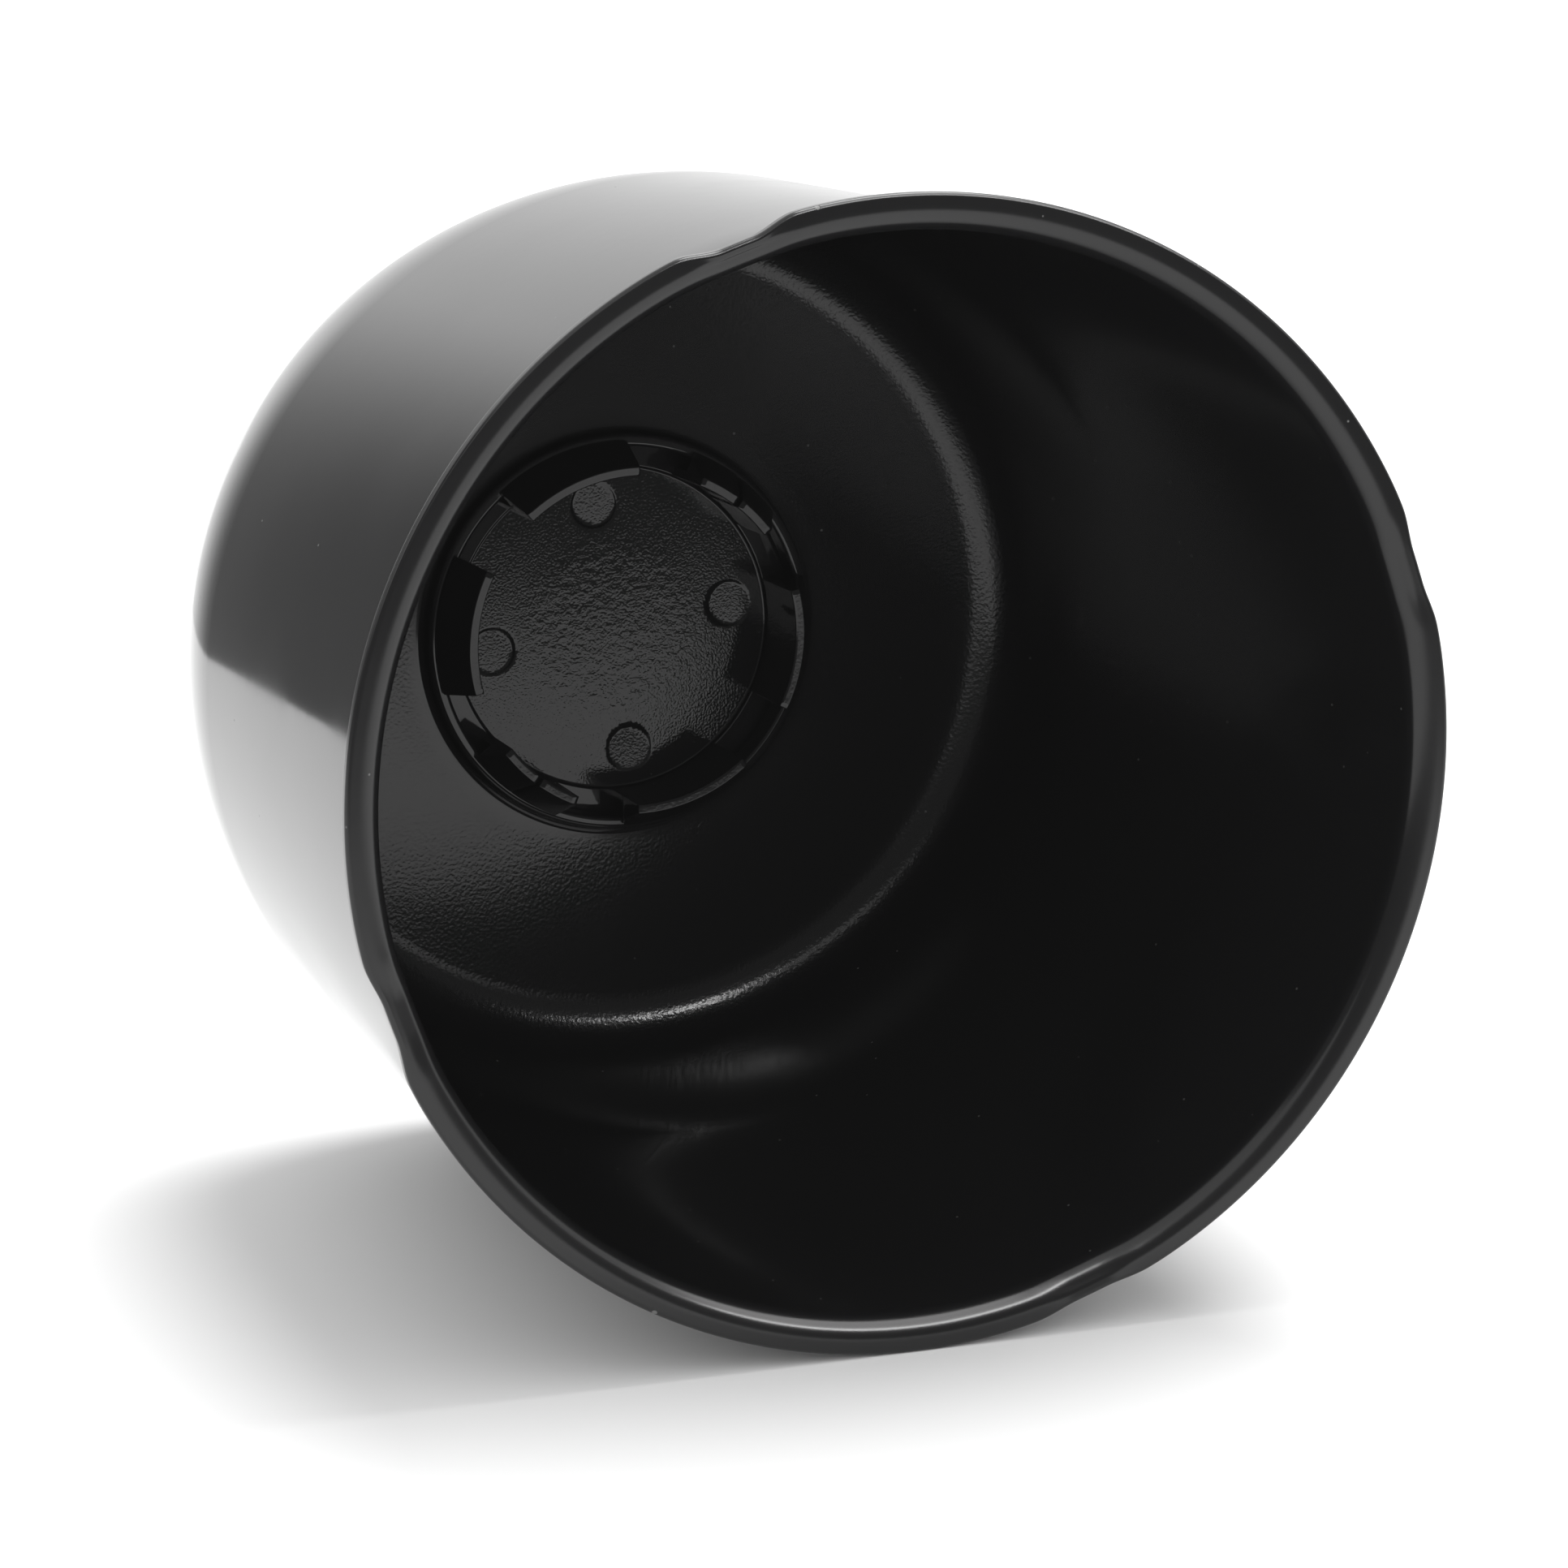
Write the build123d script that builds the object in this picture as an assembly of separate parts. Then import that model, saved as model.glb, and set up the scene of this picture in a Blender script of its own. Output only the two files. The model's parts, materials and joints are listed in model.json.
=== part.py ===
from build123d import *
from math import asin, cos, degrees, radians, sin, sqrt
import os

# A push-through centre cap for a wheel. The cap is one deep cup of pressed steel.
# It goes into the wheel's bore from behind, closed end first, until its lip stops it.
# A plug snaps into the hole of the closed end and carries a plain badge.
#
# The axis of the cap is +Y, pointing out through the closed end, and +Z is up.
# The origin is on that axis in the seat plane, where the back of the lip meets the wheel.
# Angles round the axis are counted from +X towards +Z. Lengths are millimetres.

# Cup
WHEEL_BORE_RADIUS = 53.975
BORE_CLEARANCE = 0.175
SHEET = 1.6
CUP_DEPTH = 94.9
SHOULDER_LENGTH = 28.9
SHOULDER_INSET = 4.77
CREASE_RADIUS = 6.5

# Lip
LIP_OVERHANG = 2.0
LIP_BEND = 0.8
LIP_EDGE_RADIUS = 0.45
NOTCH_COUNT = 4
NOTCH_WIDTH = 12.0
NOTCH_DEPTH = 0.8
NOTCH_FLANK = 2.4
NOTCH_CORNER = 3.0
NOTCH_TURN = 19.5

# Hole in the closed end, with a collar that is drawn inwards
HOLE_RADIUS = 21.5
COLLAR_HEIGHT = 2.5
COLLAR_WALL = 1.5
COLLAR_FOOT_RADIUS = 0.9
COLLAR_TOP_RADIUS = 0.6
HOLE_EDGE_RADIUS = 1.0

# Plug
FLANGE_OVERLAP = 4.0
FLANGE_THICKNESS = 3.0
FLANGE_EDGE_RADIUS = 1.2
PAD_RECESS = 0.6
LEG_GAP = 1.55
LEG_THICKNESS = 1.05
LEG_LENGTH = 10.0
LEG_ROOT = 0.5
LATCH_BITE = 0.8
LATCH_CLEARANCE = 0.2
LATCH_BAND = 0.6
PLUG_TURN = 52.0
WIDE_LEG_ANGLE = 41.5
WIDE_LEG_OFFSET = 58.0
SPLIT_LEG_ANGLE = 30.5
SPLIT_WIDTH = 0.5
PIN_MARK_RADIUS = 14.5
PIN_MARK_SIZE = 2.65
PIN_MARK_DEPTH = 0.2
PIN_MARK_TURN = 8.0
PIN_MARK_COUNT = 4

# Badge and the adhesive under it
BADGE_BORDER = 3.2
BADGE_THICKNESS = 1.0
BADGE_PROUD = 0.2
BADGE_BEVEL = 0.3
BADGE_GAP = 0.15
ADHESIVE_THICKNESS = 0.3
ADHESIVE_BORDER = 1.0

# Places that several pieces share
CUP_RADIUS = WHEEL_BORE_RADIUS - BORE_CLEARANCE
LIP_RADIUS = CUP_RADIUS + LIP_OVERHANG
SHOULDER_START = CUP_DEPTH - SHOULDER_LENGTH
PLATE_INSIDE = CUP_DEPTH - SHEET
COLLAR_TOP = PLATE_INSIDE - COLLAR_HEIGHT
LEG_OUTSIDE = HOLE_RADIUS - LEG_GAP
LEG_INSIDE = LEG_OUTSIDE - LEG_THICKNESS
FLANGE_RADIUS = HOLE_RADIUS + FLANGE_OVERLAP
FLANGE_FACE = CUP_DEPTH + FLANGE_THICKNESS
PAD_FACE = CUP_DEPTH + PAD_RECESS
BADGE_SEAT = FLANGE_FACE + BADGE_PROUD - BADGE_THICKNESS - ADHESIVE_THICKNESS
BADGE_POCKET_RADIUS = FLANGE_RADIUS - BADGE_BORDER
BADGE_RADIUS = BADGE_POCKET_RADIUS - BADGE_GAP


def turned(shape, angle):
    """Turn a shape round the axis, from +X towards +Z."""
    return Rot(0, -angle, 0) * shape


def spun(outline):
    """Revolve a closed half section, x being the distance from the axis, all the way round."""
    return revolve(outline, axis=Axis.Y, revolution_arc=360)


def rounded(outline, corner, radius):
    """Round the corner of an outline that lies nearest to a given point."""
    vertex = outline.vertices().sort_by_distance(corner)[0]
    return fillet(vertex, radius)


def shoulder_arc(radius):
    """An arc about the shoulder's centre, from the straight wall up to the end plate."""
    inset = SHOULDER_INSET
    rise = SHOULDER_LENGTH
    full_radius = (rise**2 + inset**2) / (2 * inset)
    center = CUP_RADIUS - full_radius
    arc_radius = radius - center
    top = CUP_DEPTH - (CUP_RADIUS - radius)
    sweep = asin((top - SHOULDER_START) / arc_radius)
    start = (radius, SHOULDER_START)
    middle = (center + arc_radius * cos(sweep / 2), SHOULDER_START + arc_radius * sin(sweep / 2))
    end = (center + arc_radius * cos(sweep), top)
    return ThreePointArc(start, middle, end)


def bend_arc(radius):
    """An arc about the centre of the lip's bend, from the lip's face to the wall."""
    center_x = CUP_RADIUS + LIP_BEND
    start = (center_x, LIP_BEND - radius)
    middle = (center_x - radius * sqrt(0.5), LIP_BEND - radius * sqrt(0.5))
    end = (center_x - radius, LIP_BEND)
    return ThreePointArc(start, middle, end)


def sheet_section():
    """Half section of the pressed sheet, from the edge of the lip to the top of the collar."""
    outside = shoulder_arc(CUP_RADIUS)
    inside = shoulder_arc(CUP_RADIUS - SHEET)
    back_bend = bend_arc(LIP_BEND)
    front_bend = bend_arc(LIP_BEND + SHEET)
    collar_outside = HOLE_RADIUS + COLLAR_WALL
    hole_corners = [
        outside @ 1,
        (HOLE_RADIUS, CUP_DEPTH),
        (HOLE_RADIUS, COLLAR_TOP),
        (collar_outside, COLLAR_TOP),
        (collar_outside, PLATE_INSIDE),
        inside @ 1,
    ]
    lip_corners = [front_bend @ 0, (LIP_RADIUS, -SHEET), (LIP_RADIUS, 0), back_bend @ 0]
    edges = [back_bend, Line(back_bend @ 1, outside @ 0), outside]
    edges += [Polyline(*hole_corners), inside, Line(inside @ 0, front_bend @ 1), front_bend]
    edges += [Polyline(*lip_corners)]
    section = make_face(edges)
    section = rounded(section, outside @ 1, CREASE_RADIUS + SHEET)
    section = rounded(section, inside @ 1, CREASE_RADIUS)
    section = rounded(section, (HOLE_RADIUS, CUP_DEPTH), HOLE_EDGE_RADIUS)
    section = rounded(section, (collar_outside, COLLAR_TOP), COLLAR_TOP_RADIUS)
    section = rounded(section, (collar_outside, PLATE_INSIDE), COLLAR_FOOT_RADIUS)
    section = rounded(section, (LIP_RADIUS, -SHEET), LIP_EDGE_RADIUS)
    return rounded(section, (LIP_RADIUS, 0), LIP_EDGE_RADIUS)


def lip_notches():
    """What the four shallow notches take off the lip: all that lies outside its plan."""
    side = NOTCH_WIDTH / 2
    half_angle = degrees(asin(side / LIP_RADIUS))
    rim = LIP_RADIUS * cos(radians(half_angle))
    floor = LIP_RADIUS - NOTCH_DEPTH
    floor_side = side - NOTCH_FLANK
    step = 360 / NOTCH_COUNT
    outline = []
    for index in range(NOTCH_COUNT):
        notch = Polyline((rim, -side), (floor, -floor_side), (floor, floor_side), (rim, side))
        outline += [Rot(0, 0, index * step) * notch]
        outline += [CenterArc((0, 0), LIP_RADIUS, index * step + half_angle, step - 2 * half_angle)]
    plan = make_face(outline)
    plan = fillet(plan.vertices(), NOTCH_CORNER)
    waste = Circle(LIP_RADIUS + LIP_OVERHANG) - plan
    lip_zone = SHEET + LIP_BEND
    return turned(extrude(Plane.XZ * waste, lip_zone, both=True), NOTCH_TURN)


def cap_shell():
    return spun(sheet_section()) - lip_notches()


def leg(angle):
    """One snap leg, centred on +X: a thin wall with a latch on its outer side."""
    tip = CUP_DEPTH - LEG_LENGTH
    latch = COLLAR_TOP - LATCH_CLEARANCE
    nose = HOLE_RADIUS + LATCH_BITE
    corners = [
        (LEG_INSIDE, CUP_DEPTH + LEG_ROOT),
        (LEG_INSIDE, tip),
        (LEG_OUTSIDE, tip),
        (nose, latch - LATCH_BAND),
        (nose, latch),
        (LEG_OUTSIDE, latch),
        (LEG_OUTSIDE, CUP_DEPTH + LEG_ROOT),
    ]
    profile = make_face(Polyline(*corners, close=True))
    return turned(revolve(profile, axis=Axis.Y, revolution_arc=angle), angle / 2)


def split_leg():
    """A narrower leg, slit down its middle so that each half can spring on its own."""
    reach = 2 * (HOLE_RADIUS + LATCH_BITE - LEG_INSIDE)
    slit = Pos(LEG_INSIDE, CUP_DEPTH - LEG_LENGTH, 0) * Box(2 * reach, 2 * LEG_LENGTH, SPLIT_WIDTH)
    return leg(SPLIT_LEG_ANGLE) - slit


def plug_body():
    """The plug's disc: a flange on the end plate, a shallow pad inside, a badge pocket outside."""
    corners = [
        (0, PAD_FACE),
        (LEG_INSIDE, PAD_FACE),
        (LEG_INSIDE, CUP_DEPTH),
        (FLANGE_RADIUS, CUP_DEPTH),
        (FLANGE_RADIUS, FLANGE_FACE),
        (BADGE_POCKET_RADIUS, FLANGE_FACE),
        (BADGE_POCKET_RADIUS, BADGE_SEAT),
        (0, BADGE_SEAT),
    ]
    section = make_face(Polyline(*corners, close=True))
    return spun(rounded(section, (FLANGE_RADIUS, FLANGE_FACE), FLANGE_EDGE_RADIUS))


def snap_plug():
    plug = plug_body()
    for side in (0, 180):
        plug += turned(split_leg(), PLUG_TURN + side)
        for offset in (-WIDE_LEG_OFFSET, WIDE_LEG_OFFSET):
            plug += turned(leg(WIDE_LEG_ANGLE), PLUG_TURN + side + offset)
    mark = Plane.XZ.offset(-PAD_FACE) * Circle(PIN_MARK_SIZE)
    mark = Pos(PIN_MARK_RADIUS, 0, 0) * extrude(mark, -PIN_MARK_DEPTH)
    for index in range(PIN_MARK_COUNT):
        plug -= turned(mark, PIN_MARK_TURN + index * 360 / PIN_MARK_COUNT)
    return plug


def disc(radius, bottom, top):
    """A plain disc on the axis."""
    return extrude(Plane.XZ.offset(-bottom) * Circle(radius), bottom - top)


def badge_adhesive():
    return disc(BADGE_RADIUS - ADHESIVE_BORDER, BADGE_SEAT, BADGE_SEAT + ADHESIVE_THICKNESS)


def badge_disc():
    bottom = BADGE_SEAT + ADHESIVE_THICKNESS
    badge = disc(BADGE_RADIUS, bottom, bottom + BADGE_THICKNESS)
    front_rim = badge.edges().sort_by(Axis.Y)[-1]
    return chamfer(front_rim, BADGE_BEVEL)


def main():
    os.makedirs("parts", exist_ok=True)
    pieces = {
        "cap_shell": cap_shell(),
        "snap_plug": snap_plug(),
        "badge_adhesive": badge_adhesive(),
        "badge_disc": badge_disc(),
    }
    for node, shape in pieces.items():
        export_step(shape, f"parts/{node}.step")
        print(node, round(shape.volume, 1), "mm3")


main()
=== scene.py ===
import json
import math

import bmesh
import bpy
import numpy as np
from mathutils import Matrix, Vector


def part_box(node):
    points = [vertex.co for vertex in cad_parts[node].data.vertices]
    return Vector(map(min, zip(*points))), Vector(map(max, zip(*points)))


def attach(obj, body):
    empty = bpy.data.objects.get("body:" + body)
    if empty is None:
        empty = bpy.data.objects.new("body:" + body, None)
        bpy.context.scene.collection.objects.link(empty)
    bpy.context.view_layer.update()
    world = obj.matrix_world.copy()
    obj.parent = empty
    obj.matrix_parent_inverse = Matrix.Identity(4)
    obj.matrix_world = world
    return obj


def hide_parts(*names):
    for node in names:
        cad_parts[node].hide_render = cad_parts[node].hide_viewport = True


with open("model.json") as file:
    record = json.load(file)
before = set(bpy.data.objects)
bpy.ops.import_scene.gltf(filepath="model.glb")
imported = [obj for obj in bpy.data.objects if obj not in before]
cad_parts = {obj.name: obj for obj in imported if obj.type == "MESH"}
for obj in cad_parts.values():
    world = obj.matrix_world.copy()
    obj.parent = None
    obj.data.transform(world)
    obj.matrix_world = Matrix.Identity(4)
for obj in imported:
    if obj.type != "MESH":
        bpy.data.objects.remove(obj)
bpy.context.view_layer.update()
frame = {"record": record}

# %% [markdown]
# # A deep centre cap for a wheel
#
# The object is a trim cap that closes the hole in the middle of a wheel. It is one cup of steel,
# pressed out of a round blank and coated gloss black, with a narrow lip round its mouth. A moulded
# plug snaps into a hole in the closed end and carries a plain badge. The cap lies on its side on
# a white table, and the reader looks into its mouth.
#
# The frame gives the places: the axis of the cap is +Y, the seat of the lip is at y = 0, the mouth
# faces -Y and +Z is up. Lengths are metres. This lesson builds the visible surfaces with numpy,
# one cell for each piece, then the finishes, the studio and the camera.

MM = 0.001
mounts = {mount["name"]: mount for mount in frame["record"]["mounts"]}
shell_low, shell_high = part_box("cap_shell")
plug_low, plug_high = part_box("snap_plug")
badge_low, badge_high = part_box("badge_disc")
tape_low, tape_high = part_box("badge_adhesive")

CUP_RADIUS = mounts["wheel_bore"]["dims"]["r_mm"] * MM
LIP_RADIUS = shell_high.x
LIP_FRONT = shell_low.y
SHEET = -LIP_FRONT
CUP_DEPTH = shell_high.y
TABLE_HEIGHT = -LIP_RADIUS
print("cup", CUP_RADIUS, "lip", LIP_RADIUS, "depth", CUP_DEPTH, "sheet", SHEET)

# %% [markdown]
# ## Profiles
#
# Pressed sheet and moulded plastic have no sharp corners: every corner is an arc. So a profile is
# a row of arcs with straight runs between them, as points (distance from the axis, y). A straight
# run gets one extra point close to each of its ends. Blender shades smoothly by blending the
# directions of neighbouring faces, and those guard points keep a flat face flat right up to the
# start of its rounded corner. Custom normals would do the same, but they are lost on export.

# %% Arcs and straight runs
GUARD = 0.08 * MM


def arc(center, radius, start, end, steps):
    """Points at center + radius * (cos a, sin a), with a going evenly from start to end degrees."""
    angle = np.radians(np.linspace(start, end, steps + 1))[:, None]
    return np.array(center) + radius * np.hstack([np.cos(angle), np.sin(angle)])


def run(start, end, steps=1, grade=1.0):
    """Points between two ends, at start + t * (end - start), without the ends themselves.

    t goes over even shares raised to the power grade, with a guard point close to each end.
    """
    start, end = np.array(start, float), np.array(end, float)
    guard = min(GUARD / np.linalg.norm(end - start), 0.2)
    inner = np.linspace(0, 1, steps + 1)[1:-1] ** grade
    share = np.concatenate([[guard], inner, [1 - guard]])[:, None]
    return start + share * (end - start)


def corner(point, before, after, radius, steps=4):
    """A rounded corner: the arc of that radius that touches both straight sides of the corner.

    Its centre lies on the line that halves the corner, at radius / sin(half angle) from the point.
    """
    point = np.array(point, float)
    side_in = np.array(before, float) - point
    side_out = np.array(after, float) - point
    side_in /= np.linalg.norm(side_in)
    side_out /= np.linalg.norm(side_out)
    half = math.acos(np.clip(side_in @ side_out, -1, 1)) / 2
    middle = (side_in + side_out) / np.linalg.norm(side_in + side_out)
    center = point + middle * radius / math.sin(half)
    first = point + side_in * radius / math.tan(half) - center
    last = point + side_out * radius / math.tan(half) - center
    a0, a1 = math.atan2(first[1], first[0]), math.atan2(last[1], last[0])
    turn = (a1 - a0 + math.pi) % (2 * math.pi) - math.pi
    return arc(center, radius, math.degrees(a0), math.degrees(a0 + turn), steps)


def rounded_loop(corners, radii, closed=True):
    """A profile through several corners, each rounded by its own radius, with guarded runs."""
    count = len(corners)
    rows = []
    for index in range(count):
        if closed or 0 < index < count - 1:
            following = corners[(index + 1) % count]
            rows.append(corner(corners[index], corners[index - 1], following, radii[index]))
        else:
            rows.append(np.array([corners[index]], float))
    joined = []
    for index, row in enumerate(rows):
        joined.append(row)
        if closed or index < count - 1:
            joined.append(run(row[-1], rows[(index + 1) % count][0]))
    return np.vstack(joined)


# %% [markdown]
# ## From numbers to a mesh
#
# Each surface is a grid of points that depends on two parameters. The faces of a grid follow from
# its shape alone, so one function serves every surface. It takes a list of grids, and joins the
# points that coincide, which closes the poles and the seams. Faces are then turned outwards.

# %% Grids to meshes


def grid_faces(rows, columns, wrap_rows, wrap_columns, offset):
    """Corner numbers of all quads of a grid: (i, j), (i+1, j), (i+1, j+1), (i, j+1)."""
    i = np.arange(rows if wrap_rows else rows - 1)[:, None]
    j = np.arange(columns if wrap_columns else columns - 1)[None, :]
    i2, j2 = (i + 1) % rows, (j + 1) % columns
    corners = [i * columns + j, i2 * columns + j, i2 * columns + j2, i * columns + j2]
    quads = np.stack(corners, axis=-1)
    return quads.reshape(-1, 4) + offset


def build(name, grids):
    """One object from several (points, wrap_rows, wrap_columns) grids, merged and closed."""
    points, faces, offset = [], [], 0
    for grid, wrap_rows, wrap_columns in grids:
        rows, columns = grid.shape[:2]
        points.append(grid.reshape(-1, 3))
        faces.append(grid_faces(rows, columns, wrap_rows, wrap_columns, offset))
        offset += rows * columns
    mesh = bpy.data.meshes.new(name)
    mesh.from_pydata(np.vstack(points).tolist(), [], np.vstack(faces).tolist())
    work = bmesh.new()
    work.from_mesh(mesh)
    bmesh.ops.remove_doubles(work, verts=work.verts, dist=0.0005 * MM)
    bmesh.ops.dissolve_degenerate(work, edges=work.edges, dist=0.0001 * MM)
    bmesh.ops.recalc_face_normals(work, faces=work.faces)
    if work.calc_volume(signed=True) < 0:
        bmesh.ops.reverse_faces(work, faces=work.faces)
    open_edges = sum(1 for edge in work.edges if len(edge.link_faces) != 2)
    triangles = sum(len(face.verts) - 2 for face in work.faces)
    volume = work.calc_volume() / MM**3
    work.to_mesh(mesh)
    work.free()
    mesh.shade_smooth()
    piece = bpy.data.objects.new(name, mesh)
    bpy.context.scene.collection.objects.link(piece)
    print(f"{name}: {triangles} triangles, {open_edges} open edges, {volume:.0f} cubic mm")
    return piece


def spin(profile, angles):
    """A profile (r, y) carried round the axis: (r cos a, y, r sin a) for each angle a."""
    r, y = profile[:, 0][:, None], profile[:, 1][:, None]
    a = angles[None, :]
    return np.stack([r * np.cos(a), y + 0 * a, r * np.sin(a)], axis=-1)


# %% [markdown]
# ## The pressed cup
#
# The press leaves a long straight wall, a big soft shoulder, a crease at the flat end plate,
# and a collar that is drawn inwards round the hole for the plug. The lip is bent outwards and cut
# with four shallow notches. A lathe or a Solidify modifier on a single surface would give the cup,
# but the lip, the collar and the two faces of the sheet are one outline here, so the whole sheet
# is spun in one go and both faces stay at their exact places.
#
# The shoulder is an arc about one centre for both faces. The crease is the arc that touches the
# shoulder's arc from inside and the end plate too. Its centre lies at (shoulder radius - crease
# radius) from the shoulder's centre, so Pythagoras gives how far it is from the axis.

# %% Outline of the sheet
SHOULDER_LENGTH = 28.9 * MM
SHOULDER_INSET = 4.77 * MM
CREASE_RADIUS = 6.5 * MM
LIP_BEND = 0.8 * MM
LIP_EDGE = 0.45 * MM
HOLE_RADIUS = 21.5 * MM
HOLE_EDGE = 1.0 * MM
COLLAR_HEIGHT = 2.5 * MM
COLLAR_WALL = 1.5 * MM
COLLAR_FOOT = 0.9 * MM
COLLAR_CREST = 0.6 * MM

shoulder_y = CUP_DEPTH - SHOULDER_LENGTH
shoulder_arc = (SHOULDER_LENGTH**2 + SHOULDER_INSET**2) / (2 * SHOULDER_INSET)
shoulder_center = (CUP_RADIUS - shoulder_arc, shoulder_y)
crease_y = CUP_DEPTH - SHEET - CREASE_RADIUS
crease_reach = shoulder_arc - SHEET - CREASE_RADIUS
crease_x = shoulder_center[0] + math.sqrt(crease_reach**2 - (crease_y - shoulder_y) ** 2)
crease_angle = math.degrees(math.asin((crease_y - shoulder_y) / crease_reach))
plate_inside = CUP_DEPTH - SHEET
collar_top = plate_inside - COLLAR_HEIGHT
collar_radius = HOLE_RADIUS + COLLAR_WALL
bend_center = (CUP_RADIUS + LIP_BEND, LIP_BEND)


def sheet_outline():
    """The closed outline of the sheet, from the back of the lip round by the hole to its front."""
    inner = CUP_RADIUS - SHEET
    crease = (crease_x, crease_y)
    hole_corner = (HOLE_RADIUS + HOLE_EDGE, CUP_DEPTH - HOLE_EDGE)
    crest_half = COLLAR_CREST * 0.7
    crest_in = (HOLE_RADIUS + crest_half, collar_top + crest_half)
    crest_out = (collar_radius - COLLAR_CREST, collar_top + COLLAR_CREST)
    foot = (collar_radius + COLLAR_FOOT, plate_inside - COLLAR_FOOT)
    lip_edge = LIP_RADIUS - LIP_EDGE
    parts = [
        arc(bend_center, LIP_BEND, 270, 180, 8),
        run((CUP_RADIUS, LIP_BEND), (CUP_RADIUS, shoulder_y), 12, 2.2),
        arc(shoulder_center, shoulder_arc, 0, crease_angle, 14),
        arc(crease, CREASE_RADIUS + SHEET, crease_angle, 90, 10)[1:],
        run((crease_x, CUP_DEPTH), (hole_corner[0], CUP_DEPTH), 6),
        arc(hole_corner, HOLE_EDGE, 90, 180, 6),
        run((HOLE_RADIUS, hole_corner[1]), (HOLE_RADIUS, crest_in[1]), 3),
        arc(crest_in, crest_half, 180, 270, 5),
        run((crest_in[0], collar_top), (crest_out[0], collar_top)),
        arc(crest_out, COLLAR_CREST, -90, 0, 5),
        run((collar_radius, crest_out[1]), (collar_radius, foot[1])),
        arc(foot, COLLAR_FOOT, 180, 90, 5),
        run((foot[0], plate_inside), (crease_x, plate_inside), 8),
        arc(crease, CREASE_RADIUS, 90, crease_angle, 12),
        arc(shoulder_center, shoulder_arc - SHEET, crease_angle, 0, 16)[1:],
        run((inner, LIP_BEND), (inner, shoulder_y), 16, 2.2)[::-1],
        arc(bend_center, LIP_BEND + SHEET, 180, 270, 14),
        run((bend_center[0], LIP_FRONT), (lip_edge, LIP_FRONT)),
        arc((lip_edge, LIP_FRONT + LIP_EDGE), LIP_EDGE, -90, 0, 6),
        run((LIP_RADIUS, LIP_FRONT + LIP_EDGE), (LIP_RADIUS, -LIP_EDGE)),
        arc((lip_edge, -LIP_EDGE), LIP_EDGE, 0, 90, 6),
        run((lip_edge, 0), (bend_center[0], 0)),
    ]
    return np.vstack(parts)


outline = sheet_outline()
print("sheet outline", len(outline), "points, crease centre", crease_x, crease_y)

# %% [markdown]
# ### The notches
#
# Where the lip is notched, its edge is drawn in by less than a millimetre over a stretch of
# twelve, and the mouth pulls in with it by a hair. The tool that did it was worn or set unevenly,
# because no two notches are equally deep. Cutting the mesh would leave sharp corners. Instead each
# point moves towards the axis by a share that depends on how far round it is from a notch (a
# smooth step) and on how far out on the lip it lies, so that the rounded edge keeps its full
# shape. The lip's face also leans inwards there, because the tool pushed the bend back. The angles
# are packed closer together at the notches: angle = u - pack * sin(4 u) / 4.

# %% The cup, with its notches
NOTCH_COUNT = 4
NOTCH_TURN = math.radians(19.5)
NOTCH_DEPTHS = np.array([0.45, 0.9, 0.6, 0.4]) * MM
NOTCH_FLOOR = 1.6 * MM
NOTCH_REACH = 6.4 * MM
NOTCH_DISH = 0.22 * MM
MOUTH_PULL = 0.15 * MM
MOUTH_REACH = 9.0 * MM
MOUTH_FADE = 6.0 * MM
NOTCH_PACKING = 0.7
CUP_STEPS = 480


def smooth_step(value):
    """0 below 0, 1 above 1, and 3 t^2 - 2 t^3 between them."""
    t = np.clip(value, 0, 1)
    return t * t * (3 - 2 * t)


def notched(points):
    """Points of the cup with the four notches pressed into the lip."""
    x, y, z = points[..., 0], points[..., 1], points[..., 2]
    radius, angle = np.hypot(x, z), np.arctan2(z, x)
    pitch = 2 * math.pi / NOTCH_COUNT
    nearest = np.round((angle - NOTCH_TURN) / pitch).astype(int) % NOTCH_COUNT
    away = np.abs((angle - NOTCH_TURN + pitch / 2) % pitch - pitch / 2) * LIP_RADIUS
    cut = 1 - smooth_step((away - NOTCH_FLOOR) / (NOTCH_REACH - NOTCH_FLOOR))
    on_lip = np.clip((radius - CUP_RADIUS) / (LIP_RADIUS - LIP_EDGE - CUP_RADIUS), 0, 1)
    pull = 1 - smooth_step(away / MOUTH_REACH)
    near_mouth = 1 - smooth_step((y - LIP_BEND) / MOUTH_FADE)
    new_radius = radius - NOTCH_DEPTHS[nearest] * cut * on_lip - MOUTH_PULL * pull * near_mouth
    on_front = smooth_step(y / LIP_FRONT)
    new_y = y + NOTCH_DISH * cut * on_front * (1 - on_lip)
    scale = new_radius / radius
    return np.stack([x * scale, new_y, z * scale], axis=-1)


u = np.linspace(0, 2 * math.pi, CUP_STEPS, endpoint=False)
cup_angles = u + NOTCH_TURN - NOTCH_PACKING * np.sin(NOTCH_COUNT * u) / NOTCH_COUNT
cap_shell = build("pressed_cup", [(notched(spin(outline, cup_angles)), True, True)])

# %% [markdown]
# ## The plug
#
# The plug is one moulding. Its disc lies on the outside of the end plate, with a shallow pad on the
# inside that shows the round marks of four ejector pins. Six legs reach into the cup and hook over
# the collar. The two narrow legs are slit, so that each half springs on its own.
#
# The pad carries round marks that don't share the disc's centre, and a polar grid would cut them
# into steps. So the pad is a square grid that is mapped onto a disc: rings of the square become
# circles. Points near a mark are drawn towards its edge, which gives that edge a clean line.

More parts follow.
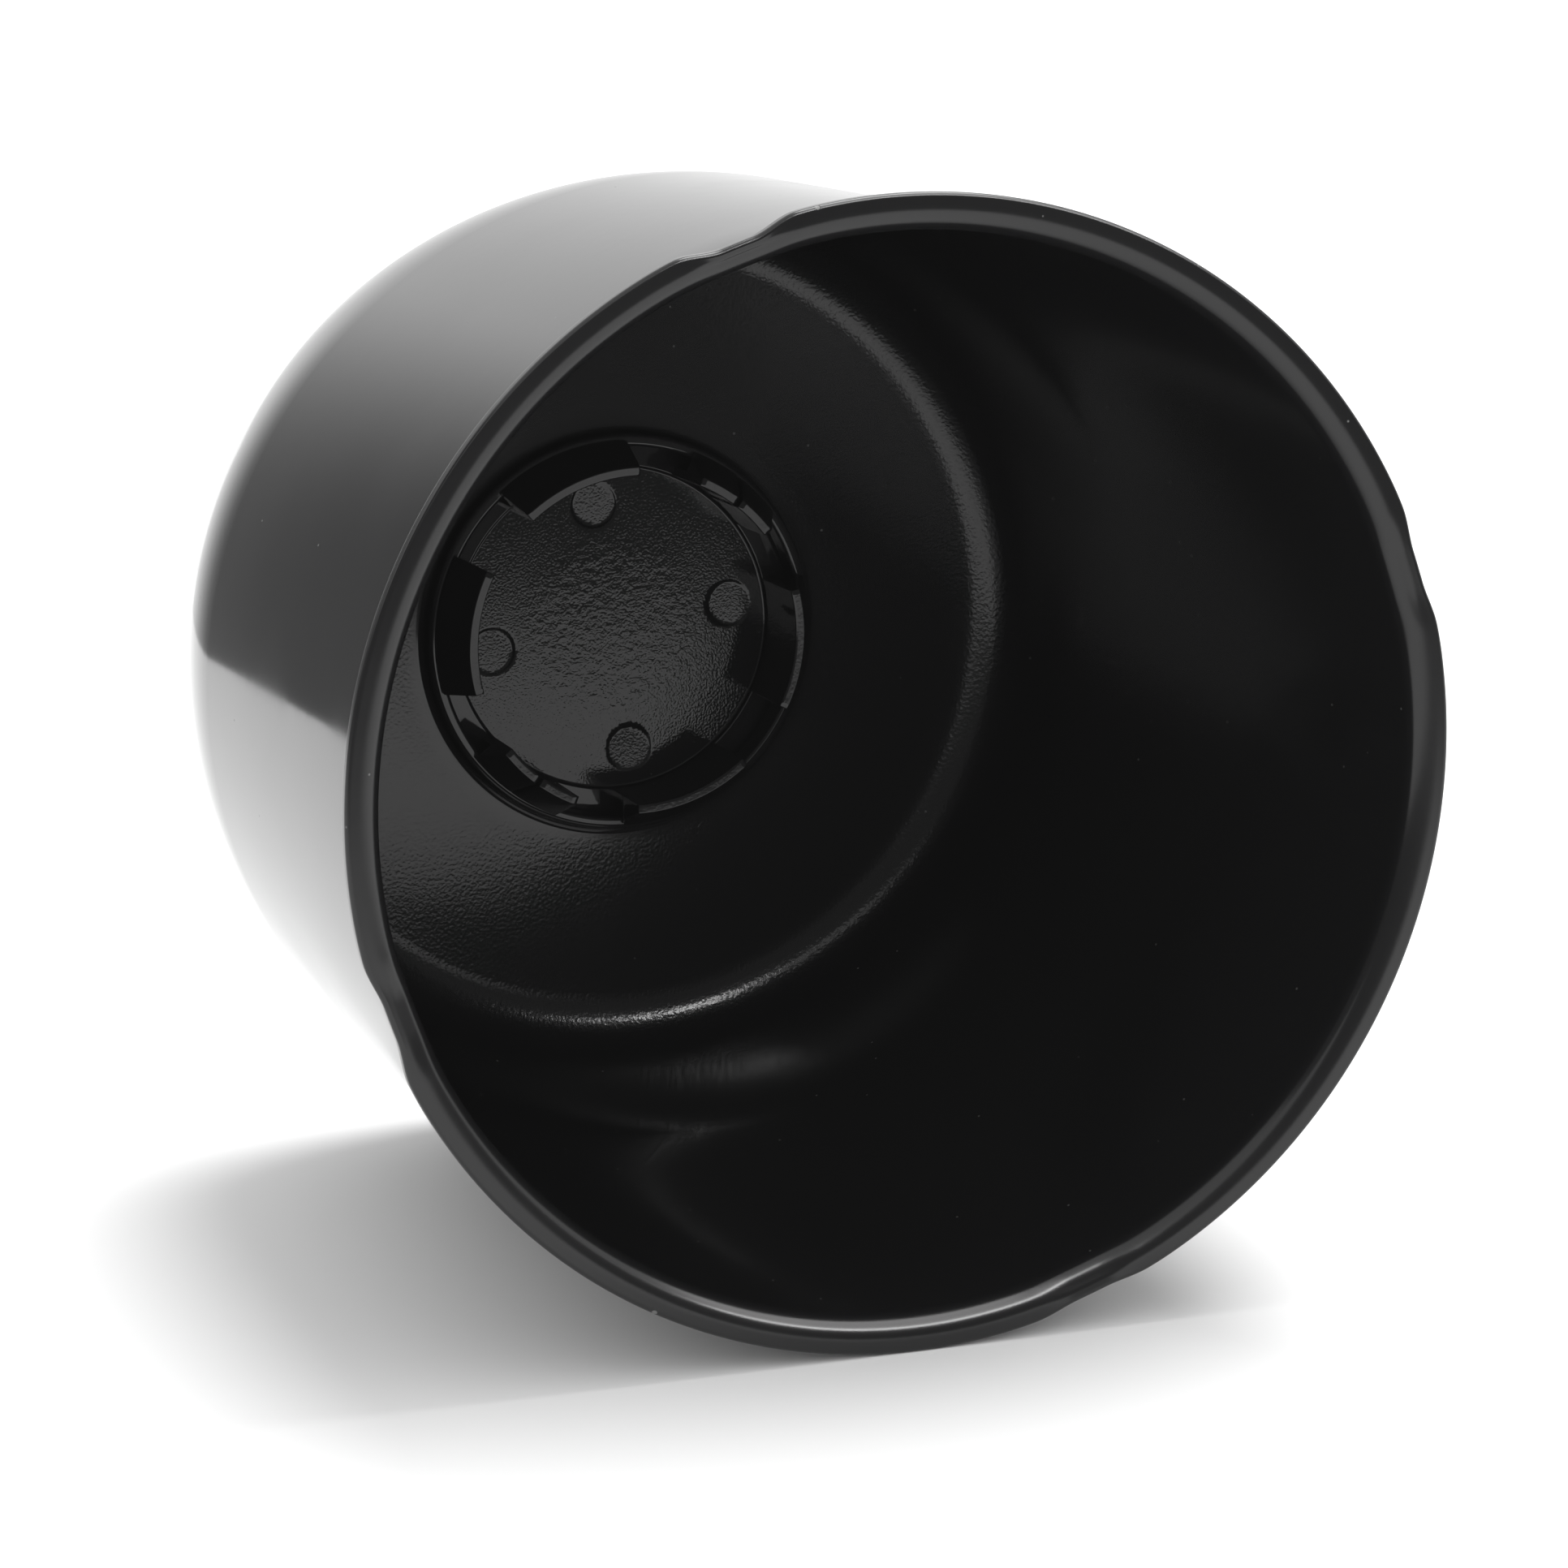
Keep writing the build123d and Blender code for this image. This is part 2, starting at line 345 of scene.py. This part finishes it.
# %% Disc of the plug
LEG_OUTSIDE = HOLE_RADIUS - 1.55 * MM
LEG_INSIDE = LEG_OUTSIDE - 1.05 * MM
PAD_FACE = CUP_DEPTH + 0.6 * MM
FLANGE_EDGE = 1.2 * MM
FLANGE_RADIUS = plug_high.x
FLANGE_FACE = plug_high.y
BADGE_POCKET = badge_high.x + 0.15 * MM
BADGE_SEAT = tape_low.y
SOFT_EDGE = 0.12 * MM
PIN_MARKS = 4
PIN_MARK_REACH = 14.5 * MM
PIN_MARK_RADIUS = 2.65 * MM
PIN_MARK_DEPTH = 0.13 * MM
PIN_MARK_SLOPE = math.tan(math.radians(2.5))
PIN_MARK_EDGE = 0.1 * MM
PIN_MARK_TURN = math.radians(8.0)
PAD_CELLS = 112
PAD_STEPS = 4 * PAD_CELLS


def disc_grid(radius, cells):
    """A square grid on a disc, as (x, z): square rings become circles, equally spaced in angle.

    The distance is the larger of a and b with its sign, and the angle is a quarter of pi times the
    smaller over the larger, counted from the first axis or back from the second.
    """
    side = np.linspace(-1, 1, cells + 1)
    a, b = np.meshgrid(side, side, indexing="ij")
    by_a = np.abs(a) >= np.abs(b)
    size = np.where(by_a, a, b)
    share = np.where(by_a, b, a) / np.where(size == 0, 1, size)
    angle = np.where(by_a, math.pi / 4 * share, math.pi / 2 - math.pi / 4 * share)
    return radius * size * np.cos(angle), radius * size * np.sin(angle)


def pad_surface():
    """The pad: a disc at PAD_FACE whose pin marks lie PIN_MARK_DEPTH deeper, with soft edges.

    A point at distance d from a mark's centre moves to the mark's edge by a squared law, so the
    grid is dense there. Its depth is a smooth step across the edge. The mark's floor leans: it is
    deeper towards the axis, by the slope times the distance from the mark's own centre.
    """
    x, z = disc_grid(LEG_INSIDE, PAD_CELLS)
    depth = np.zeros_like(x)
    reach = 1.1 * MM
    for index in range(PIN_MARKS):
        turn = PIN_MARK_TURN + index * 2 * math.pi / PIN_MARKS
        center_x, center_z = PIN_MARK_REACH * math.cos(turn), PIN_MARK_REACH * math.sin(turn)
        dx, dz = x - center_x, z - center_z
        far = np.maximum(np.hypot(dx, dz), 1e-9)
        off = far - PIN_MARK_RADIUS
        pulled = np.sign(off) * off**2 / reach
        new_far = np.where(np.abs(off) < reach, PIN_MARK_RADIUS + pulled, far)
        x, z = center_x + dx * new_far / far, center_z + dz * new_far / far
        step = smooth_step((PIN_MARK_RADIUS - new_far) / PIN_MARK_EDGE + 0.5)
        outwards = (x - center_x) * math.cos(turn) + (z - center_z) * math.sin(turn)
        depth = np.maximum(depth, (PIN_MARK_DEPTH - PIN_MARK_SLOPE * outwards) * step)
    return np.stack([x, PAD_FACE + depth, z], axis=-1)


def disc_outline():
    """The rest of the disc, from the edge of the pad round the flange to the badge's pocket."""
    corners = [
        (LEG_INSIDE, PAD_FACE),
        (LEG_INSIDE, CUP_DEPTH),
        (FLANGE_RADIUS, CUP_DEPTH),
        (FLANGE_RADIUS, FLANGE_FACE),
        (BADGE_POCKET, FLANGE_FACE),
        (BADGE_POCKET, BADGE_SEAT),
        (0, BADGE_SEAT),
    ]
    radii = [0, SOFT_EDGE, SOFT_EDGE, FLANGE_EDGE, SOFT_EDGE, SOFT_EDGE, 0]
    return rounded_loop(corners, radii, closed=False)


pad_angles = np.linspace(0, 2 * math.pi, PAD_STEPS, endpoint=False)
plug_grids = [(pad_surface(), False, False), (spin(disc_outline(), pad_angles), False, True)]

# %% [markdown]
# ### The legs
#
# A leg is one profile swept a few degrees round the axis: a thin wall with a ramp that ends in the
# latch. Its two ends are rounded as well. The profile shrinks along its own normals over the last
# tenth of a millimetre, by 1 - cos, while it moves on by sin, which is a quarter round. Each end is
# closed by a strip across the profile, because the inner and the outer side have as many points.

# %% Legs of the plug
LEG_TIP = plug_low.y
LEG_ROOT = CUP_DEPTH + 0.5 * MM
LATCH_NOSE = HOLE_RADIUS + 0.8 * MM
LATCH_BACK = collar_top - 0.2 * MM
LATCH_BAND = 0.6 * MM
PLUG_TURN = 52.0
WIDE_LEG_ANGLE = 41.5
WIDE_LEG_OFFSET = 58.0
SPLIT_LEG_ANGLE = 30.5
SPLIT_WIDTH = 0.5 * MM
TIP_DRAFT = 0.06 * MM
SIDE_POINTS = 44


def leg_profile():
    """The leg's closed outline, first up its inner side and then back down its outer side.

    The tip leans inwards by a few degrees of draft, which let it leave the mould. Each side is
    resampled to the same number of points: its longest gaps are halved until there are enough.
    """
    edge = SOFT_EDGE
    root_in = LEG_INSIDE + 0.06 * MM
    tip_middle = ((LEG_INSIDE + LEG_OUTSIDE) / 2, LEG_TIP + TIP_DRAFT / 2)
    inner = np.vstack([
        [tip_middle],
        corner((LEG_INSIDE, LEG_TIP + TIP_DRAFT), tip_middle, (LEG_INSIDE, LEG_ROOT), edge),
        [[LEG_INSIDE, CUP_DEPTH - 2 * edge], [root_in, CUP_DEPTH + edge], [root_in, LEG_ROOT]],
        [[(LEG_INSIDE + LEG_OUTSIDE) / 2, LEG_ROOT]],
    ])
    corners = [
        tip_middle,
        (LEG_OUTSIDE, LEG_TIP),
        (LATCH_NOSE, LATCH_BACK - LATCH_BAND),
        (LATCH_NOSE, LATCH_BACK),
        (LEG_OUTSIDE, LATCH_BACK),
        (LEG_OUTSIDE, LEG_ROOT),
        ((LEG_INSIDE + LEG_OUTSIDE) / 2, LEG_ROOT),
    ]
    outer = rounded_loop(corners, [0, edge, 2 * edge, edge, edge, edge, 0], closed=False)
    return resampled(inner, SIDE_POINTS), resampled(outer, SIDE_POINTS)


def resampled(points, count):
    """The same line through its own points, plus more where the runs between them are longest."""
    points = points.copy()
    while len(points) < count:
        gaps = np.linalg.norm(np.diff(points, axis=0), axis=1)
        longest = int(gaps.argmax())
        middle = (points[longest] + points[longest + 1]) / 2
        points = np.insert(points, longest + 1, middle, axis=0)
    return points


def leg_grids(start, end):
    """One leg, or half of a slit one, between two angles in degrees: its skin and its two ends."""
    inner, outer = leg_profile()
    loop = np.vstack([inner, outer[-2:0:-1]])
    tangent = np.roll(loop, -1, axis=0) - np.roll(loop, 1, axis=0)
    normal = np.stack([tangent[:, 1], -tangent[:, 0]], axis=1)
    normal /= np.linalg.norm(normal, axis=1)[:, None]
    middle = loop.mean(axis=0)
    if ((loop - middle) * normal).sum() < 0:
        normal = -normal
    quarter = np.radians(np.linspace(0, 90, 4))
    edge = 0.8 * SOFT_EDGE
    shrink = edge * (1 - np.sin(quarter))
    turn_in = edge / LEG_OUTSIDE * (1 - np.cos(quarter))
    a0, a1 = math.radians(start), math.radians(end)
    steps = max(4, int((end - start) / 1.5))
    span = np.linspace(a0 + turn_in[-1], a1 - turn_in[-1], steps)[1:-1]
    angles = np.concatenate([a0 + turn_in, span, (a1 - turn_in)[::-1]])
    shrinks = np.concatenate([shrink, np.zeros(len(span)), shrink[::-1]])
    profiles = loop[:, None, :] - normal[:, None, :] * shrinks[None, :, None]
    r, y = profiles[..., 0], profiles[..., 1]
    skin = np.stack([r * np.cos(angles), y, r * np.sin(angles)], axis=-1)
    count = len(inner)
    side_in = skin[:count]
    side_out = np.concatenate([skin[count - 1:], skin[:1]])[::-1]
    ends = [(np.stack([side_in[:, k], side_out[:, k]]), False, False) for k in (0, -1)]
    return [(skin, True, False)] + ends


slit = math.degrees(math.asin(SPLIT_WIDTH / 2 / LEG_OUTSIDE))
for side in (0, 180):
    narrow = PLUG_TURN + side
    plug_grids += leg_grids(narrow - SPLIT_LEG_ANGLE / 2, narrow - slit)
    plug_grids += leg_grids(narrow + slit, narrow + SPLIT_LEG_ANGLE / 2)
    for offset in (-WIDE_LEG_OFFSET, WIDE_LEG_OFFSET):
        wide = narrow + offset
        plug_grids += leg_grids(wide - WIDE_LEG_ANGLE / 2, wide + WIDE_LEG_ANGLE / 2)
snap_plug = build("moulded_plug", plug_grids)

# %% [markdown]
# ## The badge and its tape
#
# Out of view, on the outside, a blank metal badge sits in the plug's pocket on a disc of foam tape.
# Both are turned profiles. The badge is very slightly crowned, as a stamped blank is, and its rim
# is bevelled. The tape's edge bulges a little where the badge presses on it.

# %% Badge and tape
BADGE_BEVEL = 0.3 * MM
BADGE_CROWN = 0.12 * MM
BADGE_RADIUS = badge_high.x
TAPE_RADIUS = tape_high.x
ROUND_STEPS = 256


def badge_outline():
    """From the axis underneath, round the bevelled rim, and back over a crowned face.

    The face drops by the crown's height times the square of its share of the radius.
    """
    rim = np.array([
        (0, badge_low.y),
        (BADGE_RADIUS - BADGE_BEVEL / 3, badge_low.y),
        (BADGE_RADIUS, badge_low.y + BADGE_BEVEL / 3),
    ])
    shoulder = BADGE_RADIUS - BADGE_BEVEL
    share = np.linspace(1, 0, 24)
    face = np.stack([shoulder * share, badge_high.y - BADGE_CROWN * share**2], axis=1)
    top_corner = (BADGE_RADIUS, face[0, 1] - BADGE_BEVEL)
    guard = run(top_corner, face[0])
    return np.vstack([rim, run(rim[-1], top_corner), [top_corner], guard, face])


def tape_outline():
    """From the axis underneath, round an edge that bulges as half a sine wave, to the top."""
    height = tape_high.y - tape_low.y
    share = np.linspace(0, 1, 9)
    bulge = 0.1 * MM
    radius = TAPE_RADIUS - bulge + bulge * np.sin(math.pi * share)
    edge = np.stack([radius, tape_low.y + height * share], axis=1)
    return np.vstack([[(0, tape_low.y)], edge, [(0, tape_high.y)]])


round_angles = np.linspace(0, 2 * math.pi, ROUND_STEPS, endpoint=False)
badge_disc = build("blank_badge", [(spin(badge_outline(), round_angles), False, True)])
badge_tape = build("foam_tape", [(spin(tape_outline(), round_angles), False, True)])

# %% [markdown]
# ## Writing a finish as sums
#
# A finish is a shader tree, and most of a tree is arithmetic on patterns. Wired by hand that is
# hard to read. So a small class wraps a socket and gives it Python's operators: an expression such
# as 1 - mask * 0.5 adds its Math nodes by itself. Every other node comes from one method that takes
# the node's type, its settings, and the values or links of its sockets.

# %% Sockets with arithmetic


class Amount:
    """A number that varies over a surface: one output socket, with arithmetic."""

    def __init__(self, finish, socket):
        self.finish = finish
        self.socket = socket

    def maths(self, operation, *operands):
        values = dict(enumerate(operands))
        return self.finish.node("Math", {"operation": operation}, values)[0]

    def __add__(self, other):
        return self.maths("ADD", self, other)

    def __sub__(self, other):
        return self.maths("SUBTRACT", self, other)

    def __rsub__(self, other):
        return self.maths("SUBTRACT", other, self)

    def __mul__(self, other):
        return self.maths("MULTIPLY", self, other)

    def __pow__(self, other):
        return self.maths("POWER", self, other)

    __radd__ = __add__
    __rmul__ = __mul__

    def higher(self, other):
        return self.maths("MAXIMUM", self, other)

    def step(self, start, end):
        """A smooth step of this number: 0 at start, 1 at end, whichever of them is larger."""
        values = {"Value": self, "From Min": start, "From Max": end}
        settings = {"interpolation_type": "SMOOTHSTEP"}
        return self.finish.node("MapRange", settings, values)[0]


class Outputs:
    """The outputs of one node, by number or by name, each as an Amount."""

    def __init__(self, finish, node):
        self.finish = finish
        self.node = node

    def __getitem__(self, key):
        return Amount(self.finish, self.node.outputs[key])


class Finish:
    """A material under construction, with one shader and one method that adds nodes."""

    def __init__(self, name, kind="BsdfPrincipled", **constants):
        self.material = bpy.data.materials.new(name)
        self.material.use_nodes = True
        self.tree = self.material.node_tree
        self.tree.nodes.clear()
        sockets = {key.replace("_", " "): value for key, value in constants.items()}
        self.shader = self.node(kind, {}, sockets)
        self.node("OutputMaterial", {}, {"Surface": self.shader[0]})
        place = self.node("TexCoord")["Object"]
        self.place = place
        parts = self.node("SeparateXYZ", {}, {"Vector": place})
        self.x, self.y, self.z = parts["X"], parts["Y"], parts["Z"]
        self.radius = (self.x * self.x + self.z * self.z) ** 0.5

    def node(self, kind, settings=None, values=None):
        """Any node: its type, its settings, set first, and its sockets' values or links."""
        made = self.tree.nodes.new("ShaderNode" + kind)
        for key, setting in (settings or {}).items():
            setattr(made, key, setting)
        for key, value in (values or {}).items():
            if isinstance(value, Amount):
                self.tree.links.new(value.socket, made.inputs[key])
            else:
                made.inputs[key].default_value = value
        return Outputs(self, made)

    def stretched(self, x, y, z):
        """Object coordinates, in grains of the given lengths in metres along X, Y and Z."""
        values = {"Vector": self.place, "Scale": (1 / x, 1 / y, 1 / z)}
        return self.node("Mapping", {}, values)["Vector"]

    def noise(self, place, detail=2.0, rough=0.5):
        """Soft noise about 0.5, one grain for each unit of the given coordinates."""
        values = {"Vector": place, "Scale": 1.0, "Detail": detail, "Roughness": rough}
        return self.node("TexNoise", {}, values)[0]

    def cells(self, place):
        """Distance to the nearest of many scattered points, one for each unit of the place."""
        values = {"Vector": place, "Scale": 1.0}
        return self.node("TexVoronoi", {"feature": "F1"}, values)["Distance"]

    def blend(self, share, first, second):
        """A colour that goes from first to second as share goes from 0 to 1."""
        values = {"Factor": share, 6: first, 7: second}
        return Amount(self, self.node("Mix", {"data_type": "RGBA"}, values).node.outputs[2])

    def set(self, name, value):
        """Puts a varying value or colour on one of the shader's sockets."""
        self.tree.links.new(value.socket, self.shader.node.inputs[name])

    def relief(self, height, distance):
        """Turns a height from 0 to 1 into relief of the given depth in metres."""
        values = {"Height": height, "Distance": distance, "Strength": 1.0}
        self.set("Normal", self.node("Bump", {}, values)["Normal"])


# %% [markdown]
# ## Gloss black coat
#
# The steel is powder coated. A thin gloss film has a Fresnel reflection of three per cent or so,
# over a body that is nearly black, so almost everything that shows on it is a mirror image of the
# studio. Its faults make it real: hair-fine rubbing marks that run round the wall, a grainy orange
# peel where the film is thick (on the end plate and in the crease), a little dust, and chips where
# the lip's edge has knocked against others in a box.

# %% The coat


def gloss_coat():
    """Black gloss film: its relief, gloss and colour all follow from where a point lies."""
    coat = Finish("gloss_black_coat", Roughness=0.1, IOR=1.44)
    at_end = coat.y.step(0.080, 0.0895)
    off_collar = coat.radius.step(0.0238, 0.0262)
    past_radius = (coat.radius - crease_x).higher(0)
    past_y = (coat.y - crease_y).higher(0)
    crease_distance = (past_radius * past_radius + past_y * past_y) ** 0.5
    inner_face = crease_distance.step(CREASE_RADIUS + 0.7 * SHEET, CREASE_RADIUS + 0.3 * SHEET)
    peel_zone = at_end * off_collar * inner_face * (1 + coat.radius.step(0.040, 0.044))
    grain = coat.noise(coat.stretched(0.00042, 0.00042, 0.00042), 1.0)
    wave = coat.noise(coat.stretched(0.0026, 0.0026, 0.0026), 1.0)
    rub = coat.noise(coat.stretched(0.006, 0.00011, 0.006), 2.0)
    rub_patch = coat.noise(coat.stretched(0.022, 0.022, 0.022), 1.0).step(0.42, 0.68)
    dust = coat.cells(coat.stretched(0.0042, 0.0042, 0.0042)).step(0.036, 0.02)
    on_lip = coat.y.step(0.0012, 0.0002)
    chip_cells = coat.cells(coat.stretched(0.0035, 0.0035, 0.0035))
    chip = chip_cells.step(0.1, 0.07) * on_lip * coat.radius.step(0.0550, 0.0556)
    rim_streak = coat.noise(coat.stretched(0.008, 0.0002, 0.008), 1.0)
    body = coat.blend(dust * 0.5 + chip * 0.6, (0.007, 0.007, 0.0073, 1), (0.2, 0.2, 0.195, 1))
    coat.set("Base Color", body)
    gloss = 0.085 + 0.04 * peel_zone + 0.06 * rub_patch * rub + 0.02 * wave + 0.09 * on_lip
    coat.set("Roughness", gloss + 0.3 * dust + 0.3 * chip + 0.03 * rim_streak * on_lip)
    height = grain * (0.04 + 0.9 * peel_zone) + wave * 0.15
    height = height + rub * rub_patch * 0.05 + dust * 0.5 - chip * 1.5
    coat.relief(height, 0.000018)
    return coat.material


# %% [markdown]
# ## Moulded black plastic
#
# The plug comes out of a polished mould with a fine stippled skin, a quarter of a millimetre from
# grain to grain, and with wider, leathery wrinkles towards the middle where the melt came in. The
# wrinkles are noise in the relief, held to the middle by a smooth step.

# %% The plastic


def moulded_plastic():
    """Black plastic: wrinkled pad, smoother legs."""
    skin = Finish("black_moulded_plastic", Roughness=0.08, IOR=1.4)
    pad_depth = skin.y.step(0.0953, 0.09545) * skin.y.step(0.0962, 0.0959)
    pad = skin.radius.step(0.0189, 0.0184) * pad_depth
    middle = pad * skin.radius.step(0.0125, 0.0085)
    stipple = skin.noise(skin.stretched(0.00028, 0.00028, 0.00028), 1.0)
    wrinkle = skin.noise(skin.stretched(0.0008, 0.0008, 0.0008), 1.0)
    swell = skin.noise(skin.stretched(0.0035, 0.0035, 0.0035), 1.0)
    speck = skin.cells(skin.stretched(0.0011, 0.0011, 0.0011)).step(0.09, 0.05)
    body = skin.blend(speck * pad * 0.35, (0.007, 0.007, 0.0073, 1), (0.14, 0.14, 0.14, 1))
    skin.set("Base Color", body)
    skin.set("Roughness", 0.05 + 0.02 * swell + 0.02 * pad * stipple)
    height = stipple * (0.08 + 0.75 * pad) + wrinkle * (0.1 + 1.5 * middle) + swell * 0.15
    skin.relief(height, 0.000018)
    return skin.material


# %% [markdown]
# ## Anodised blank and foam tape
#
# The badge is a dark anodised aluminium blank, brushed in one direction before anodising. Brushing
# is long thin noise in the relief and the gloss. The tape is closed-cell foam: small round cells,
# no gloss at all.

# %% Badge and tape finishes


def anodised_metal():
    """Dark brushed aluminium under a thin clear anodised film."""
    metal = Finish("dark_anodised_blank", Metallic=1.0, Coat_Weight=0.15, Coat_Roughness=0.2)
    brush = metal.noise(metal.stretched(0.009, 0.009, 0.00009), 3.0, 0.6)
    patch = metal.noise(metal.stretched(0.012, 0.012, 0.012), 2.0)
    shade = brush * 0.6 + patch * 0.4
    metal.set("Base Color", metal.blend(shade, (0.085, 0.085, 0.09, 1), (0.16, 0.16, 0.165, 1)))
    metal.set("Roughness", 0.3 + 0.12 * brush + 0.06 * patch)
    metal.relief(brush, 0.000004)
    return metal.material


def foam():
    """Charcoal closed-cell foam."""
    tape = Finish("charcoal_foam", Roughness=0.9, IOR=1.45)
    cell = tape.cells(tape.stretched(0.00028, 0.00028, 0.00028))
    tape.set("Base Color", tape.blend(cell, (0.03, 0.03, 0.03, 1), (0.075, 0.075, 0.073, 1)))
    tape.set("Roughness", 0.82 + 0.15 * cell)
    tape.relief(cell, 0.00005)
    return tape.material


# %% Each piece gets its finish and its place on the body
for piece, node, slot, material in (
    (cap_shell, "cap_shell", "shell_coat", gloss_coat()),
    (snap_plug, "snap_plug", "plug_plastic", moulded_plastic()),
    (badge_disc, "badge_disc", "badge_metal", anodised_metal()),
    (badge_tape, "badge_adhesive", "adhesive_foam", foam()),
):
    piece.data.materials.append(material)
    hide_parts(node)
    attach(piece, "root")
    print(piece.name, "stands for", node, "with", material.name)

# %% [markdown]
# ## The studio
#
# A gloss black object shows the room and little else, so the studio is the real work. The table is
# a white sheet. Above it hangs a wide soft light. The far wall is white where the reader looks, but
# a dark stretch of room stands to the left and to the back left, and the room behind the reader is
# dark too. They give the wall its grey band and keep the inside of the cup black. Where the dark
# stretch ends it fades into the light wall. A soft box hangs in front on the right, above head
# height, and is brightest along its front edge. All of these are cards that only mirror images see,
# so they cast no shadow.

# %% Table, cards and lights


def flat_card(name, corners, shade, far_shade=0.0, fades=()):
    """A flat four-sided card that only mirrors see, from its four corners, with a given radiance.

    Each fade (axis, start, end) takes the radiance over to far_shade by a smooth step along that
    axis, and where fades overlap the stronger one counts.
    """
    glow = Finish(name, "Emission", Strength=1.0)
    along = {"x": glow.x, "y": glow.y, "z": glow.z}
    if fades:
        steps = [along[axis].step(start, end) for axis, start, end in fades]
        share = steps[0]
        for step in steps[1:]:
            share = share.higher(step)
        glow.set("Color", shade + (far_shade - shade) * share)
    else:
        glow.shader.node.inputs["Color"].default_value = (shade, shade, shade, 1)
    mesh = bpy.data.meshes.new(name)
    mesh.from_pydata(corners, [], [(0, 1, 2, 3)])
    mesh.materials.append(glow.material)
    card = bpy.data.objects.new(name, mesh)
    bpy.context.scene.collection.objects.link(card)
    card.visible_camera = False
    card.visible_diffuse = False
    card.visible_shadow = False
    return card


DARK = 0.17
WALL_LIGHT = 1.17
TABLE_WHITE = 0.79
BOX_LIGHT = 5.0
BOX_EDGE_LIGHT = 24.0
TABLE_SHADE_EDGE = -0.234
TABLE_BACK = 0.53
FAR = 3.0
CARD_LIFT = 1 * MM
ROOM_Y = -0.75
ROOM_TOP = 0.55
SIDE_X = -1.2
SIDE_BACK = 0.2
SIDE_TOP = 1.3
LEFT_END = -0.03
LEFT_TOP = 0.3
BOX_LEFT = 0.05
BOX_RIGHT = 1.2
BOX_FRONT = -1.05
BOX_BACK = 0.1
BOX_HEIGHT = 0.9
KEY_ENERGY = 3.0
KEY_WIDTH = math.radians(34)
KEY_TILT = (math.radians(-12), math.radians(16), 0)


def level(x0, x1, y0, y1, z):
    """Corners of a level rectangle."""
    return [(x0, y0, z), (x1, y0, z), (x1, y1, z), (x0, y1, z)]


def upright(start, end, top):
    """Corners of an upright rectangle on the table, between two (x, y) feet."""
    feet = [(*start, TABLE_HEIGHT), (*end, TABLE_HEIGHT)]
    return feet + [(*end, top), (*start, top)]


mesh = bpy.data.meshes.new("table")
mesh.from_pydata(level(-FAR, FAR, -FAR, FAR, TABLE_HEIGHT), [], [(0, 1, 2, 3)])
table = bpy.data.objects.new("table", mesh)
bpy.context.scene.collection.objects.link(table)
table_finish = bpy.data.materials.new("white_table")
table_finish.use_nodes = True
table_shader = table_finish.node_tree.nodes["Principled BSDF"]
table_shader.inputs["Base Color"].default_value = (TABLE_WHITE, TABLE_WHITE, TABLE_WHITE, 1)
table_shader.inputs["Roughness"].default_value = 0.6
table_shader.inputs["Specular IOR Level"].default_value = 0.1
mesh.materials.append(table_finish)

# Painted shade: a dark sheet that only mirrors see, laid a millimetre over the white table in front
# of the cup, where the table lies in shade towards the camera.
front = level(-FAR, FAR, -FAR, TABLE_SHADE_EDGE, TABLE_HEIGHT + CARD_LIFT)
flat_card("painted_shade_on_table_in_front", front, DARK)
room = upright((-FAR, ROOM_Y), (FAR, ROOM_Y), ROOM_TOP)
flat_card("dark_room_behind_reader", room, DARK)
left = upright((SIDE_X, SIDE_BACK), (LEFT_END, TABLE_BACK), LEFT_TOP)
left_fades = [("z", 0.10, 0.30), ("x", -0.185, -0.035)]
flat_card("dark_room_back_left", left, DARK, WALL_LIGHT, left_fades)
side = upright((SIDE_X, ROOM_Y), (SIDE_X, SIDE_BACK), SIDE_TOP)
flat_card("dark_room_left", side, DARK)
box = level(BOX_LEFT, BOX_RIGHT, BOX_FRONT, BOX_BACK, BOX_HEIGHT)
flat_card("soft_box_in_front", box, BOX_LIGHT, BOX_EDGE_LIGHT, [("y", -0.75, -0.90)])

world = bpy.data.worlds.new("studio")
world.use_nodes = True
background = world.node_tree.nodes["Background"]
background.inputs["Color"].default_value = (1, 1, 1, 1)
background.inputs["Strength"].default_value = WALL_LIGHT
bpy.context.scene.world = world

key_data = bpy.data.lights.new("overhead", "SUN")
key_data.energy = KEY_ENERGY
key_data.angle = KEY_WIDTH
key = bpy.data.objects.new("overhead", key_data)
key.rotation_euler = KEY_TILT
bpy.context.scene.collection.objects.link(key)

# %% [markdown]
# ## The camera
#
# The reader looks down by less than twelve degrees and from twenty degrees to the left of the axis,
# through a long lens, so that the mouth is a broad ellipse and the outside of the wall shows on
# the left. A white room veils any lens a little, so the black level is lifted by a hair.

# %% Camera
VIEW_AZIMUTH = math.radians(-19.9)
VIEW_ELEVATION = math.radians(11.75)
EYE = (-0.14313, -0.35855, 0.08040)
LENS = 95.68
SENSOR = 36.0

camera_data = bpy.data.cameras.new("reader")
camera_data.lens = LENS
camera_data.sensor_width = SENSOR
camera_data.clip_start = 0.01
camera_data.clip_end = 50
camera = bpy.data.objects.new("reader", camera_data)
camera.location = EYE
camera.rotation_euler = (math.pi / 2 - VIEW_ELEVATION, 0, VIEW_AZIMUTH)
bpy.context.scene.collection.objects.link(camera)
bpy.context.scene.camera = camera

VEIL = 0.0038
view = bpy.context.scene.view_settings
view.view_transform = "Standard"
view.use_curve_mapping = True
view.curve_mapping.black_level = (-VEIL, -VEIL, -VEIL)
view.curve_mapping.update()

# %% Bring the scene up to date
bpy.context.view_layer.update()
